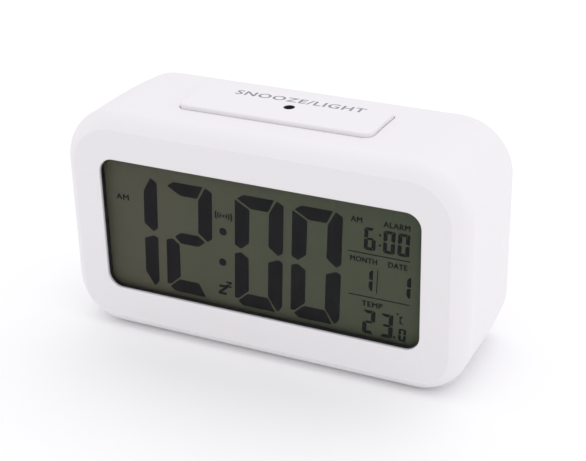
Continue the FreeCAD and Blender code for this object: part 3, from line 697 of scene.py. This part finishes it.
# The bar's words are pad printed in thin grey ink.
grey = Finish("grey_print")
wear = grey.noise(1800.0, 3.0)
grey.feed("Base Color", grey.mix(wear, (0.2, 0.2, 0.2, 1), (0.3, 0.3, 0.31, 1)))
grey.feed("Roughness", 0.5 + 0.1 * wear)
printed = word("SNOOZE/LIGHT", 3.3 * MM, 43.6 * MM,
               Matrix.Translation((-19.7 * MM, FACE + 28.2 * MM, BAR_TOP - 0.001 * MM)),
               weight=0.24 * MM)
fitted(printed, "bar_print", "bar", "white_key", grey.material)

# The bar's hole is lined with a thin black tube. It is painted shade: a dark lining where the inside of the
# hole would lie in shade. It also keeps stray light off the sensor.
# painted shade: the black lining darkens the hole in place of the shade inside it
painted_shade_tube = even_black("sleeve_black_painted_shade", 0.7, (0.012, 0.012, 0.013, 1), (0.022, 0.022, 0.024, 1))
SLEEVE_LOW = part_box("light_sensor")[1].z + 1.2 * MM
SLEEVE_TOP = BAR_TOP - 0.12 * MM


def turned(profile, place, steps=40):
    """A round piece: a profile of (radius, height) points is spun about its axis."""
    bm = bmesh.new()
    points = [bm.verts.new((radius, 0.0, height)) for radius, height in profile]
    edges = [bm.edges.new(pair) for pair in zip(points, points[1:])]
    bmesh.ops.spin(bm, geom=points + edges, cent=(0, 0, 0), axis=(0, 0, 1), angle=2 * math.pi, steps=steps,
                   use_merge=True)
    bmesh.ops.transform(bm, verts=bm.verts, matrix=place)
    bmesh.ops.remove_doubles(bm, verts=bm.verts, dist=0.0005 * MM)
    return bm


sleeve_profile = [(SENSOR_R, SLEEVE_LOW), (SENSOR_R + SLEEVE_WALL, SLEEVE_LOW),
                  (SENSOR_R + SLEEVE_WALL, SLEEVE_TOP), (SENSOR_R, SLEEVE_TOP), (SENSOR_R, SLEEVE_LOW)]
fitted(turned(sleeve_profile, Matrix.Translation((SENSOR_X, SENSOR_Y, 0)), 32), "sensor_shade_sleeve", "bar",
       "switch_black", painted_shade_tube)

# ---------------------------------------------------------------- display backing
# A moulded frame holds the glasses, the light guide and its white reflecting film against the board.
# Four small lamps light the guide from its edge.
white_film = moulded("white_film", (0.88, 0.88, 0.88, 1), (0.84, 0.84, 0.84, 1), 0.6, 1200.0)
coat(white_film, "backlight_reflector")
coat(moulded("frame_plastic", (0.62, 0.62, 0.6, 1), (0.56, 0.56, 0.55, 1), 0.5), "lcd_frame")


def lamp_body():
    """Cream lamp package with a yellow phosphor window."""
    finish = Finish("lamp_body", Coat_Weight=0.3)
    cells = finish.noise(900.0, 3.0)
    finish.feed("Base Color", finish.mix(cells > 0.52, (0.78, 0.76, 0.68, 1), (0.8, 0.72, 0.25, 1)))
    finish.feed("Roughness", 0.35 + 0.2 * cells)
    return finish.material


coat(lamp_body(), "backlight_leds")

# ---------------------------------------------------------------- circuit boards
# Glass-fibre boards under green solder mask, with copper tracks just showing through it.


def solder_mask():
    finish = Finish("solder_mask", Coat_Weight=0.25, Coat_Roughness=0.15)
    cells = finish.node("TexVoronoi", {"feature": "DISTANCE_TO_EDGE", "distance": "CHEBYCHEV"},
                        {"Vector": finish.place, "Scale": 190.0, "Randomness": 0.75})
    edge = Value(finish.tree, cells.outputs["Distance"])
    track = edge < 0.045
    weave = finish.noise(1400.0, 2.0)
    green = finish.mix(weave, (0.012, 0.1, 0.035, 1), (0.018, 0.125, 0.05, 1))
    finish.feed("Base Color", finish.mix(0.75 * track, green, (0.06, 0.26, 0.1, 1)))
    finish.feed("Roughness", 0.32 + 0.12 * weave)
    finish.bump(0.6 * track + 0.2 * weave, 0.03 * MM)
    return finish.material


coat(solder_mask(), "main_board", "snooze_board", "key_board")


def epoxy():
    """Filled black epoxy, matt, with a slight sparkle of its filler."""
    finish = Finish("chip_epoxy")
    grain = finish.noise(5200.0, 2.0)
    finish.feed("Base Color", finish.mix(grain, (0.012, 0.012, 0.013, 1), (0.035, 0.035, 0.037, 1)))
    finish.feed("Roughness", 0.5 + 0.2 * grain)
    finish.bump(grain, 0.008 * MM)
    return finish.material


def metal(name, bright, dull, rough, grain=2200.0, stretch=(1.0, 1.0, 1.0)):
    """Bare or plated metal: drawn or stamped grain, with duller patches."""
    finish = Finish(name)
    aligned = finish.node("Mapping", {}, {"Vector": finish.place, "Scale": stretch}).outputs[0]
    grained = finish.node("TexNoise", {}, {"Vector": aligned, "Scale": grain, "Detail": 3.0})
    lines = Value(finish.tree, grained.outputs[0])
    patch = finish.noise(260.0, 2.0)
    finish.feed("Base Color", finish.mix(patch, bright, dull))
    finish.feed("Metallic", 0.94 + 0.06 * patch)
    finish.feed("Roughness", rough - 0.06 + 0.16 * lines)
    finish.bump(lines, 0.006 * MM)
    return finish.material


steel = metal("screw_steel", (0.6, 0.6, 0.61, 1), (0.44, 0.44, 0.45, 1), 0.32)
nickel = metal("contact_nickel", (0.72, 0.69, 0.64, 1), (0.58, 0.56, 0.52, 1), 0.24, 1800.0, (0.15, 1, 1))
coat(epoxy(), "clock_chip", "thermistor")
coat(steel, "main_board_screws", "snooze_board_screws", "key_board_screws", "case_screws")
coat(metal("crystal_can", (0.78, 0.78, 0.78, 1), (0.66, 0.66, 0.67, 1), 0.2), "crystal")
coat(metal("slide_can", (0.7, 0.69, 0.66, 1), (0.6, 0.59, 0.57, 1), 0.28), "slide_switch_body")


def can_sleeve():
    """Printed film round a capacitor's can, with its pale stripe to one side."""
    finish = Finish("capacitor_sleeve", Coat_Weight=0.2)
    cloud = finish.noise(400.0, 2.0)
    dark = finish.mix(cloud, (0.015, 0.018, 0.03, 1), (0.022, 0.026, 0.045, 1))
    bright_top = finish.axis("Y") > FACE + 20.0 * MM
    finish.feed("Base Color", finish.mix(bright_top, dark, (0.62, 0.62, 0.63, 1)))
    finish.feed("Roughness", 0.3 + 0.15 * cloud)
    return finish.material


def banded(name, base, dark, count):
    """Lacquered body with painted bands along it."""
    finish = Finish(name, Coat_Weight=0.4)
    cloud = finish.noise(700.0, 2.0)
    wave = finish.node("TexWave", {"wave_type": "BANDS", "bands_direction": "X"},
                       {"Vector": finish.place, "Scale": count, "Distortion": 0.0})
    bands = Value(finish.tree, wave.outputs["Fac"]) > 0.8
    finish.feed("Base Color", finish.mix(bands, finish.mix(cloud, base, dark), (0.12, 0.05, 0.03, 1)))
    finish.feed("Roughness", 0.3 + 0.12 * cloud)
    return finish.material


coat(can_sleeve(), "capacitors")
coat(banded("resistor_body", (0.62, 0.5, 0.34, 1), (0.55, 0.43, 0.28, 1), 260.0), "resistors")

# ---------------------------------------------------------------- switches, sensor and cables
# Tactile switches have black bodies and stems. The light sensor is a ceramic disc with a fine
# sensing track under clear lacquer. Flat cable and two sleeved wires join the boards and the bay.
switch_black = even_black("switch_black", 0.45, (0.014, 0.014, 0.015, 1), (0.026, 0.026, 0.028, 1))
coat(switch_black, "snooze_switch_body", "snooze_switch_stem", "key_switch_bodies", "mode_switch_stem",
     "set_switch_stem", "up_switch_stem", "down_switch_stem", "buzzer_ring")


def sensing_disc():
    finish = Finish("sensing_disc", Coat_Weight=0.6)
    wave = finish.node("TexWave", {"wave_type": "BANDS", "bands_direction": "X"},
                       {"Vector": finish.place, "Scale": 420.0, "Distortion": 0.6})
    lines = Value(finish.tree, wave.outputs["Fac"]) > 0.55
    finish.feed("Base Color", finish.mix(lines, (0.2, 0.08, 0.03, 1), (0.42, 0.22, 0.1, 1)))
    finish.feed("Roughness", 0.3 + 0.1 * finish.noise(1500.0))
    return finish.material


coat(sensing_disc(), "light_sensor")


def flat_cable():
    finish = Finish("flat_cable", Sheen_Weight=0.05)
    wave = finish.node("TexWave", {"wave_type": "BANDS", "bands_direction": "X"},
                       {"Vector": finish.place, "Scale": 314.0, "Distortion": 0.0})
    cores = Value(finish.tree, wave.outputs["Fac"])
    red_core = finish.axis("X") > 4.9 * MM
    grey_pvc = finish.mix(cores, (0.36, 0.36, 0.37, 1), (0.5, 0.5, 0.51, 1))
    finish.feed("Base Color", finish.mix(red_core, grey_pvc, (0.5, 0.03, 0.02, 1)))
    finish.feed("Roughness", 0.45 + 0.1 * finish.noise(900.0))
    finish.bump(cores, 0.15 * MM)
    return finish.material


def wire_sleeve():
    """Red PVC on the positive lead and black on the other."""
    finish = Finish("wire_sleeve")
    cloud = finish.noise(500.0, 2.0)
    positive = finish.axis("X") > 0.0
    black = finish.mix(cloud, (0.012, 0.012, 0.012, 1), (0.022, 0.022, 0.022, 1))
    red = finish.mix(cloud, (0.5, 0.02, 0.015, 1), (0.42, 0.015, 0.012, 1))
    finish.feed("Base Color", finish.mix(positive, black, red))
    finish.feed("Roughness", 0.35 + 0.12 * cloud)
    return finish.material


coat(flat_cable(), "ribbon_cable")
coat(wire_sleeve(), "battery_wires")

# ---------------------------------------------------------------- rear cover
# A flat plate of the same white ABS closes the back. The battery bay, the vents and the sound holes
# are moulded in it, and four screws hold it. A faint line round its rim is where the two halves meet.
coat(white_abs, "rear_cover")
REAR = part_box("rear_cover")[1].y
KEY_Z = 60.0 * MM


def from_behind(x, y, z):
    """Places flat lettering on the back, so that it reads from behind."""
    return (Matrix.Translation((x, y, z)) @ Matrix.Rotation(math.pi, 4, "Z")
            @ Matrix.Rotation(math.pi / 2, 4, "X"))


rear_words = (("MODE", -38.0, 1.5, 6.4), ("SET", -19.0, 1.5, 4.4), ("UP", 0.0, 1.5, 2.9),
              ("DOWN", 19.0, 1.5, 6.6), ("OFF", 41.5, 1.3, 3.4), ("ON", 34.6, 1.3, 2.6))
for text, middle, cap, width in rear_words:
    stand = from_behind((middle + width / 2) * MM, REAR - 0.002 * MM, KEY_Z + 5.3 * MM)
    fitted(word(text, cap * MM, width * MM, stand), "rear_word_" + text.lower(), "clock", "white_case",
           grey.material)

# The sound opening has a thin raised ring moulded round it.
BUZZER_X = 45.5 * MM
BUZZER_Z = 29.0 * MM
RING_R = 6.6 * MM
RING_HALF = 0.35 * MM
RING_RISE = 0.3 * MM
RING_SUNK = 0.05 * MM
ring_profile = [(RING_R - RING_HALF, -RING_SUNK)]
for step in range(13):
    angle = math.radians(180 * step / 12)
    ring_profile.append((RING_R - RING_HALF * math.cos(angle), RING_RISE * math.sin(angle)))
ring_profile.append((RING_R + RING_HALF, -RING_SUNK))
ring_profile.append(ring_profile[0])
ring_place = Matrix.Translation((BUZZER_X, REAR, BUZZER_Z)) @ Matrix.Rotation(-math.pi / 2, 4, "X")
fitted(turned(ring_profile, ring_place, 64), "sound_ring", "clock", "white_case", white_abs)
coat(metal("buzzer_brass", (0.78, 0.58, 0.28, 1), (0.66, 0.48, 0.22, 1), 0.3, 900.0), "buzzer_disc")

# ---------------------------------------------------------------- rear keys
# Four round keys, turned here as they are moulded: a cap with a rounded rim and a shallow dish, a
# flange that keeps it behind the cover, and a nub that meets its switch. The knob slides beside them.
KEY_RIM = 0.6 * MM
KEY_DISH = 0.18 * MM
KEY_CAP_R = 3.5 * MM
KEY_FLANGE_R = 4.5 * MM
KEY_NUB_R = 1.2 * MM
key_white = moulded("key_white", (0.83, 0.812, 0.83, 1), (0.815, 0.797, 0.815, 1), 0.42, 3400.0)
for name in ("mode", "set", "up", "down"):
    key_low, key_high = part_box(name + "_key")
    flange_front = key_low.y + 0.5 * MM
    flange_back = flange_front + 1.0 * MM
    profile = [(0.0, key_low.y), (KEY_NUB_R - 0.15 * MM, key_low.y), (KEY_NUB_R, key_low.y + 0.15 * MM),
               (KEY_NUB_R, flange_front), (KEY_FLANGE_R - 0.1 * MM, flange_front),
               (KEY_FLANGE_R, flange_front + 0.1 * MM), (KEY_FLANGE_R, flange_back - 0.1 * MM),
               (KEY_FLANGE_R - 0.1 * MM, flange_back), (KEY_CAP_R, flange_back)]
    profile += [(KEY_CAP_R - KEY_RIM * u, key_high.y - KEY_RIM * v) for u, v in quarter_round(7)]
    for share in (0.75, 0.5, 0.25, 0.0):
        reach = share * (KEY_CAP_R - KEY_RIM)
        profile.append((reach, key_high.y - KEY_DISH * (1 - share ** 2)))
    key_x = (key_low.x + key_high.x) / 2
    key_place = Matrix.Translation((key_x, 0, KEY_Z)) @ Matrix.Rotation(-math.pi / 2, 4, "X")
    key = fitted(turned(profile, key_place, 48), name + "_key_cap", name, "white_key", key_white)
    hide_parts(name + "_key")
coat(switch_black, "sensor_switch_knob")

# ---------------------------------------------------------------- battery door
# The door is a flat moulding with two hooks at its foot and a springy tongue between two slits. Seven
# rounded ribs give the thumb a grip.
coat(white_abs, "battery_door")
DOOR_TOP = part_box("battery_door")[1].z
RIB_HALF = 4.6 * MM
RIB_R = 0.38 * MM
RIB_SUNK = 0.05 * MM
RIB_FIRST = 1.4 * MM
RIB_STEP = 1.15 * MM
ribs = bmesh.new()
for index in range(7):
    rib_place = (Matrix.Translation((-RIB_HALF, REAR - RIB_SUNK, DOOR_TOP - RIB_FIRST - RIB_STEP * index))
                 @ Matrix.Rotation(math.pi / 2, 4, "Y"))
    start = bmesh.ops.create_circle(ribs, cap_ends=True, radius=RIB_R, segments=12, matrix=rib_place)
    far = push_out(ribs, faces_round(start["verts"]), (2 * RIB_HALF, 0, 0))
    for end in (start["verts"], far):
        rim = list({edge for vert in end for edge in vert.link_edges
                    if edge.other_vert(vert) in end})
        bmesh.ops.bevel(ribs, geom=rim, offset=0.2 * MM, offset_type="OFFSET", segments=3, profile=0.5,
                        affect="EDGES", material=-1, clamp_overlap=True)
fitted(ribs, "door_ribs", "door", "white_case", white_abs)

# ---------------------------------------------------------------- batteries and contacts
# Three cells lie side by side, turned end for end. Each has a steel can in a printed sleeve, a nub at
# the positive end, and a crimped insulating ring round the nub.
CELL_R = 5.25 * MM
CELL_L = 44.5 * MM
CELL_NUB = 1.1 * MM
NUB_R = 1.9 * MM
CELL_Y = FACE + 37.35 * MM
CELL_PITCH = 11.4 * MM
CELL_SHIFT = 1.75 * MM
CELL_MID_Z = 29.0 * MM


def cell_sleeve(name, low, high):
    """Printed shrink sleeve, glossy, with a soft cloud in its ink and fine handling marks."""
    finish = Finish(name, Coat_Weight=0.5, Coat_Roughness=0.12)
    cloud = finish.noise(180.0, 3.0)
    finish.feed("Base Color", finish.mix(cloud, low, high))
    finish.feed("Roughness", 0.28 + 0.14 * finish.noise(1300.0, 3.0))
    return finish.material


sleeve_green = cell_sleeve("cell_sleeve_green", (0.03, 0.17, 0.12, 1), (0.04, 0.2, 0.15, 1))
sleeve_band = cell_sleeve("cell_sleeve_band", (0.7, 0.71, 0.72, 1), (0.6, 0.61, 0.62, 1))
cell_end = metal("cell_end", (0.76, 0.75, 0.73, 1), (0.66, 0.65, 0.63, 1), 0.25, 1500.0)
BAND_START = 30.0 * MM
SLEEVE_LIP = 4.62 * MM
cell_profile = [(0.0, 0.0), (4.2 * MM, 0.0), (4.35 * MM, 0.25 * MM), (4.6 * MM, 0.3 * MM),
                (4.75 * MM, 0.05 * MM), (5.05 * MM, 0.12 * MM), (CELL_R, 0.45 * MM), (CELL_R, BAND_START),
                (CELL_R, CELL_L - 1.6 * MM), (5.05 * MM, CELL_L - 1.25 * MM),
                (4.7 * MM, CELL_L - 1.15 * MM), (4.5 * MM, CELL_L - 1.4 * MM), (2.3 * MM, CELL_L - 1.4 * MM),
                (NUB_R, CELL_L - CELL_NUB), (NUB_R, CELL_L - 0.25 * MM), (NUB_R - 0.25 * MM, CELL_L),
                (0.0, CELL_L)]
cells = bmesh.new()
for row, side in ((-1, 1), (0, -1), (1, 1)):
    start_x = side * (CELL_SHIFT - CELL_L / 2)
    stand = (Matrix.Translation((start_x, CELL_Y, CELL_MID_Z + row * CELL_PITCH))
             @ Matrix.Rotation(side * math.pi / 2, 4, "Y"))
    cell = turned(cell_profile, stand, 48)
    for face in cell.faces:
        middle = face.calc_center_median()
        reach = math.hypot(middle.y - CELL_Y, middle.z - CELL_MID_Z - row * CELL_PITCH)
        along = side * middle.x - CELL_SHIFT + CELL_L / 2
        face.material_index = 2 if reach < SLEEVE_LIP else (1 if along > BAND_START else 0)
    spare = bpy.data.meshes.new("cell")
    cell.to_mesh(spare)
    cell.free()
    cells.from_mesh(spare)
cell_set = fitted(cells, "cells", "clock", "cell_jacket", sleeve_green, sleeve_band, cell_end)
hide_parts("battery_cells")

# Each negative contact is a plate with a coned spring, wound from nickel-plated wire.
BAY_X = 25.2 * MM
CONTACT_T = 0.4 * MM
SPRING_L = 4.0 * MM
SPRING_R = 3.2 * MM
SPRING_TURNS = 4.5
SPRING_CONE = 0.3
PLATE_SIDE = 8.4 * MM
TURN_STEPS = 24
WIRE_R = 0.35 * MM
springs = bmesh.new()
for row, side in ((-1, 1), (0, -1), (1, 1)):
    mid_z = CELL_MID_Z + row * CELL_PITCH
    wall = -side * BAY_X
    coil_start = wall + side * (CONTACT_T + WIRE_R * 0.8)
    steps = int(SPRING_TURNS * TURN_STEPS)
    circle = bmesh.ops.create_circle(springs, cap_ends=False, radius=WIRE_R, segments=10,
                                     matrix=Matrix.Translation((coil_start, CELL_Y, mid_z + SPRING_R)))
    ring_edges = list({edge for vert in circle["verts"] for edge in vert.link_edges})
    for vert in circle["verts"]:
        u, v = vert.co.x - coil_start, vert.co.y - CELL_Y
        vert.co = (coil_start + u, CELL_Y, mid_z + SPRING_R + v)
    known = set(springs.verts) - set(circle["verts"])
    bmesh.ops.spin(springs, geom=circle["verts"] + ring_edges, cent=(coil_start, CELL_Y, mid_z),
                   axis=(1, 0, 0), dvec=(side * (SPRING_L - 2 * WIRE_R) / steps, 0, 0),
                   angle=2 * math.pi * SPRING_TURNS, steps=steps, use_merge=False)
    for vert in springs.verts:
        if vert not in known:
            share = min(max(side * (vert.co.x - coil_start) / SPRING_L, 0.0), 1.0)
            cone = 1 - SPRING_CONE * share
            vert.co.y = CELL_Y + cone * (vert.co.y - CELL_Y)
            vert.co.z = mid_z + cone * (vert.co.z - mid_z)
    edge_loops = [edge for edge in springs.edges if edge.is_boundary and edge.verts[0] not in known]
    bmesh.ops.holes_fill(springs, edges=edge_loops, sides=0)
    plate_place = (Matrix.Translation((wall + side * CONTACT_T / 2, CELL_Y, mid_z))
                   @ Matrix.Diagonal((CONTACT_T, PLATE_SIDE, PLATE_SIDE, 1.0)))
    plate = bmesh.ops.create_cube(springs, size=1.0, matrix=plate_place)
    corners = list({edge for vert in plate["verts"] for edge in vert.link_edges
                    if abs(edge.verts[0].co.x - edge.verts[1].co.x) > CONTACT_T / 2})
    bmesh.ops.bevel(springs, geom=corners, offset=0.9 * MM, offset_type="OFFSET", segments=5, profile=0.5,
                    affect="EDGES", material=-1, clamp_overlap=True)
spring_set = fitted(springs, "contact_springs", "clock", "nickel", nickel)
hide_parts("battery_springs")
coat(nickel, "battery_plates")

# ---------------------------------------------------------------- stage, light and camera
# The clock stands on a sheet of pale paper in an evenly lit room, with one broad lamp overhead and a
# weaker one to each side. The camera looks down on its front from the right.
floor_mesh = bmesh.new()
bmesh.ops.create_grid(floor_mesh, x_segments=1, y_segments=1, size=12.0)
floor = blank(floor_mesh, "floor")
paper = Finish("floor_paper", Roughness=0.9)
paper.feed("Base Color", paper.mix(paper.noise(30.0), (0.985, 0.985, 0.985, 1), (0.975, 0.975, 0.975, 1)))
floor.data.materials.append(paper.material)

scene = bpy.context.scene
scene.view_settings.view_transform = "Standard"
scene.world = bpy.data.worlds.new("studio")
scene.world.use_nodes = True
scene.world.node_tree.nodes["Background"].inputs["Color"].default_value = (0.985, 0.98, 1.0, 1)
scene.world.node_tree.nodes["Background"].inputs["Strength"].default_value = 0.875


def soft_light(name, place, aim, size, power, colour):
    lamp = bpy.data.lights.new(name, "AREA")
    lamp.shape = "DISK"
    lamp.size = size
    lamp.energy = power
    lamp.color = colour
    thing = bpy.data.objects.new(name, lamp)
    thing.location = place
    thing.rotation_euler = (Vector(aim) - Vector(place)).to_track_quat("-Z", "Y").to_euler()
    scene.collection.objects.link(thing)


soft_light("overhead", (0.1, 0.1, 1.1), (0, 0, 0.04), 1.6, 3.3, (0.97, 0.96, 1.0))
soft_light("from_the_left", (-1.3, -0.2, 0.4), (0, 0, 0.04), 0.8, 1.0, (1.0, 0.99, 1.0))
soft_light("from_the_right", (1.3, 0.1, 0.35), (0, 0, 0.04), 0.8, 1.5, (1.0, 0.99, 1.0))

CAMERA_TURN = math.radians(25.97)
CAMERA_RISE = math.radians(26.31)
CAMERA_ROLL = math.radians(-1.35)
CAMERA_PLACE = Vector((0.17766, FACE - 0.33755, 0.23357))
away = Vector((math.sin(CAMERA_TURN) * math.cos(CAMERA_RISE), -math.cos(CAMERA_TURN) * math.cos(CAMERA_RISE),
               math.sin(CAMERA_RISE)))
across = Vector((0, 0, 1)).cross(away).normalized()
up = away.cross(across)
right = math.cos(CAMERA_ROLL) * across + math.sin(CAMERA_ROLL) * up
above = -math.sin(CAMERA_ROLL) * across + math.cos(CAMERA_ROLL) * up
lens = bpy.data.cameras.new("camera")
lens.lens = 86.9
lens.sensor_width = 36.0
lens.clip_start = 0.01
camera = bpy.data.objects.new("camera", lens)
camera.matrix_world = Matrix((right, above, away)).transposed().to_4x4()
camera.location = CAMERA_PLACE
scene.collection.objects.link(camera)
scene.camera = camera
